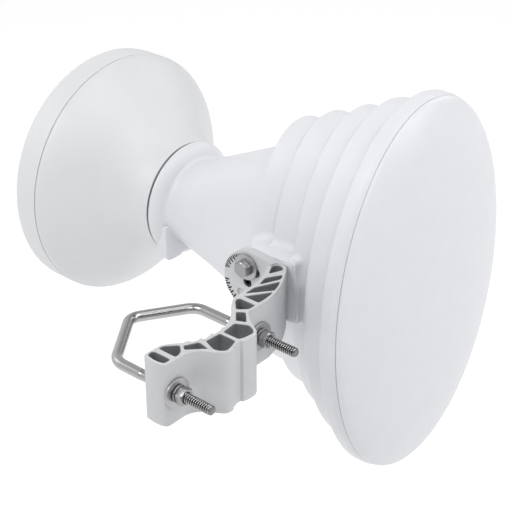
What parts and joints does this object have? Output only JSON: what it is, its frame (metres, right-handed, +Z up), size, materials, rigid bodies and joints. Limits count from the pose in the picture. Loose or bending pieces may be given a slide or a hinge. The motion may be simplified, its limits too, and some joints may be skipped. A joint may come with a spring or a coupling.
{
  "type": "mast-mounted microwave horn antenna",
  "caption": "White elliptical stepped horn antenna with a domed radome, a round radio housing on its rear port and a ribbed pole clamp with a V-bolt.",
  "frame": {"origin": "middle of the clamp's pole seat, the flat at the bottom of its V jaw", "axes": "+X along the horn's boresight, out of the radome; +Z up; +Y from the pole towards the horn, so the horn hangs at the clamp's +Y side"},
  "size_m": [0.4172, 0.3737, 0.34],
  "materials": {
    "shell": "white UV-stable moulded housing, satin",
    "radome": "white moulded radome, fine satin",
    "casting": "light grey powder-coated die casting, matt",
    "steel": "bright stainless steel",
    "brass": "plain turned brass insert",
    "rubber": "dark grey seal rubber",
    "dark": "black moulded nylon"
  },
  "bodies": {
    "mast_clamp": {"clamp_bracket": "casting", "leg_washer_1": "steel", "leg_washer_2": "steel", "leg_spring_washer_1": "steel", "leg_spring_washer_2": "steel", "leg_nut_1": "steel", "leg_nut_2": "steel", "pivot_pin": "steel"},
    "v_bolt_body": {"v_bolt": "steel"},
    "horn": {"horn_body": "shell", "radome": "radome", "radome_gasket": "rubber", "port_collar": "shell", "locking_tab": "shell", "lock_bolt": "steel", "lock_washer": "steel", "lug_insert": "brass"},
    "radio": {"radio_front_shell": "shell", "radio_back_cover": "shell", "radio_gasket": "rubber", "port_ring": "rubber", "cable_gland": "dark", "vent_plug": "dark"}
  },
  "joints": [
    {"name": "elevation_tilt", "type": "hinge", "parent": "mast_clamp", "child": "horn", "pos_m": [-0.06, 0.105, 0.0025], "axis": [0, -1, 0], "range_deg": [-30, 30]},
    {"name": "port_twist", "type": "hinge", "parent": "horn", "child": "radio", "pos_m": [-0.2172, 0.197, -0.008], "axis": [1, 0, 0], "range_deg": [-45, 45]},
    {"name": "clamp_slide", "type": "slide", "parent": "mast_clamp", "child": "v_bolt_body", "axis": [1, 0, 0], "range_m": [-0.018, 0.03]}
  ]
}
